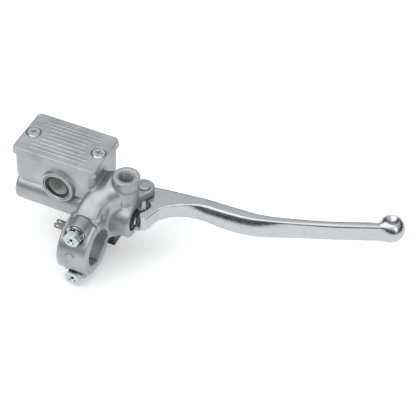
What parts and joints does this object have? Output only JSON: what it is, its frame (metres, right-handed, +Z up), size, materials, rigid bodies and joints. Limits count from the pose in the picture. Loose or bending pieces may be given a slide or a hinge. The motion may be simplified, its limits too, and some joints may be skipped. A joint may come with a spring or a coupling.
{
  "type": "motorcycle brake master cylinder",
  "caption": "Handlebar brake master cylinder with a square fluid reservoir, sight glass, split clamp, mirror boss and a long curved lever with a ball end.",
  "frame": {"origin": "centre of the handlebar clamp's bore", "axes": "+X along the handlebar, outboard to the lever's tip; +Y forward, away from the rider; +Z up"},
  "size_m": [0.2538, 0.1197, 0.0756],
  "materials": {
    "cast_silver": "silver painted die casting, satin",
    "lever_silver": "clear coated satin silver",
    "zinc_plate": "bright zinc plate",
    "spring_steel": "bright wire and stamped steel",
    "turned_alloy": "fine turned",
    "sintered_bronze": "oiled, matt",
    "black_rubber": "moulded, matt",
    "black_plastic": "moulded, fine grain",
    "white_nylon": "natural nylon",
    "smoked_glass": "clear, polished",
    "tinned_brass": "dull tinned"
  },
  "bodies": {
    "perch": {"master_cylinder_body": "cast_silver", "handlebar_clamp_cap": "cast_silver", "reservoir_cover": "cast_silver", "cover_screw_left": "zinc_plate", "cover_screw_right": "zinc_plate", "diaphragm_plate": "white_nylon", "cover_diaphragm": "black_rubber", "splash_guard": "white_nylon", "sight_glass_lens": "smoked_glass", "sight_glass_seal": "black_rubber", "sight_glass_retainer": "zinc_plate", "clamp_bolt_upper": "zinc_plate", "clamp_bolt_lower": "zinc_plate", "clamp_flat_washer_upper": "zinc_plate", "clamp_flat_washer_lower": "zinc_plate", "clamp_spring_washer_upper": "zinc_plate", "clamp_spring_washer_lower": "zinc_plate", "piston_return_spring": "spring_steel", "piston_washer": "spring_steel", "circlip": "spring_steel", "dust_boot": "black_rubber", "lever_pivot_bolt": "zinc_plate", "lever_pivot_nut": "zinc_plate", "brake_switch_body": "black_plastic", "switch_terminal_a": "tinned_brass", "switch_terminal_b": "tinned_brass", "switch_plunger_spring": "spring_steel", "switch_screw": "zinc_plate"},
    "lever_arm": {"lever": "lever_silver", "lever_pivot_bush": "sintered_bronze"},
    "piston_set": {"piston": "turned_alloy", "primary_cup": "black_rubber", "secondary_cup": "black_rubber"},
    "switch_pin": {"switch_plunger": "white_nylon"}
  },
  "joints": [
    {"name": "lever_pivot", "type": "hinge", "parent": "perch", "child": "lever_arm", "pos_m": [0.0228, 0.0456, 0.011], "axis": [0, 0, -1], "range_deg": [0, 16], "stiffness_Nm_per_rad": 0.8, "springref_deg": -20.05},
    {"name": "piston_slide", "type": "slide", "parent": "perch", "child": "piston_set", "axis": [-1, 0, 0], "range_m": [0, 0.006], "deforming": ["piston_return_spring", "dust_boot"]},
    {"name": "plunger_slide", "type": "slide", "parent": "perch", "child": "switch_pin", "axis": [-1, 0, 0], "range_m": [0, 0.0037], "deforming": ["switch_plunger_spring"]}
  ],
  "couplings": [
    {"joint": "piston_slide", "follows": "lever_pivot", "m_per_rad": 0.0212},
    {"joint": "plunger_slide", "follows": "lever_pivot", "m_per_rad": 0.0132}
  ]
}
